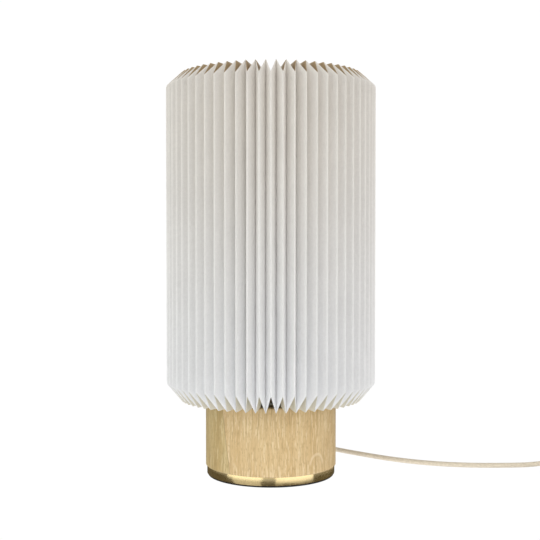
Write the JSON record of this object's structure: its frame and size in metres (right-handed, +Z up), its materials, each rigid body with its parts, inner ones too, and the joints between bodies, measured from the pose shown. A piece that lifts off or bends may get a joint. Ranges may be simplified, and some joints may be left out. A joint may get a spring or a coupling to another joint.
{
  "type": "table lamp",
  "caption": "Table lamp with a tall pleated paper shade on a low round oak drum with a brass rim, a screw-in bulb, and a textile cord with a rocker switch and a plug.",
  "frame": {"origin": "centre of the foot, on the table", "axes": "+Z up along the lamp's axis, -Y towards the front, the cord leaves at +Y"},
  "size_m": [0.6286, 0.2785, 0.48],
  "materials": {
    "foot_rubber": "matt black rubber",
    "satin_brass": "satin brushed, lacquered",
    "ballast_steel": "plain steel plate",
    "zinc_steel": "bright zinc",
    "oak": "clear matt oil on pale oak",
    "ivory_rubber": "matt, ivory",
    "black_plastic": "moulded, matt black",
    "porcelain": "glazed white",
    "contact_brass": "plain stamped brass",
    "cord_textile": "braided beige textile over a round flex",
    "brown_core": "brown wire insulation",
    "blue_core": "blue wire insulation",
    "opal_glass": "opal, satin",
    "cap_aluminium": "rolled thread",
    "pleated_paper": "stiff matt paper, folded, warm white",
    "white_wire": "white powder coat",
    "ivory_plastic": "moulded, ivory",
    "nickel_pin": "nickel plated"
  },
  "bodies": {
    "base": {"foot_pad": "foot_rubber", "brass_rim": "satin_brass", "ballast_disc": "ballast_steel", "ballast_screws": "zinc_steel", "oak_drum": "oak", "oak_lid": "oak", "locating_collar": "oak", "stem_tube": "zinc_steel", "stem_washer": "zinc_steel", "stem_nut": "zinc_steel", "cover_washer": "satin_brass", "cover_tube": "satin_brass", "strain_relief": "ivory_rubber", "relief_nut": "zinc_steel", "holder_cap": "black_plastic", "holder_shell": "black_plastic", "holder_insert": "porcelain", "screw_contact": "contact_brass", "centre_contact": "contact_brass", "terminal_screws": "zinc_steel", "inner_cord": "cord_textile", "live_core": "brown_core", "neutral_core": "blue_core", "cord_run": "cord_textile", "cord_link": "cord_textile", "cord_coil": "cord_textile", "cord_tail": "cord_textile", "switch_base": "ivory_plastic", "switch_cover": "ivory_plastic", "switch_pin": "zinc_steel", "switch_screws": "zinc_steel", "plug_body": "ivory_plastic", "plug_pins": "nickel_pin"},
    "shade": {"pleated_shade": "pleated_paper", "shade_top_ring": "white_wire", "shade_bottom_ring": "white_wire", "shade_struts": "white_wire", "shade_arms": "white_wire", "seat_ring": "white_wire"},
    "bulb": {"bulb_globe": "opal_glass", "bulb_cap": "cap_aluminium", "bulb_insulator": "black_plastic", "bulb_contact": "contact_brass"},
    "rocker": {"switch_rocker": "ivory_plastic"}
  },
  "joints": [
    {"name": "shade_lift", "type": "slide", "parent": "base", "child": "shade", "axis": [0, 0, 1], "range_m": [0, 0.26]},
    {"name": "bulb_out", "type": "slide", "parent": "base", "child": "bulb", "axis": [0, 0, 1], "range_m": [0, 0.3]},
    {"name": "switch_rock", "type": "hinge", "parent": "base", "child": "rocker", "pos_m": [0.425, 0.03, 0.0145], "axis": [0, 1, 0], "range_deg": [0, 16]}
  ]
}
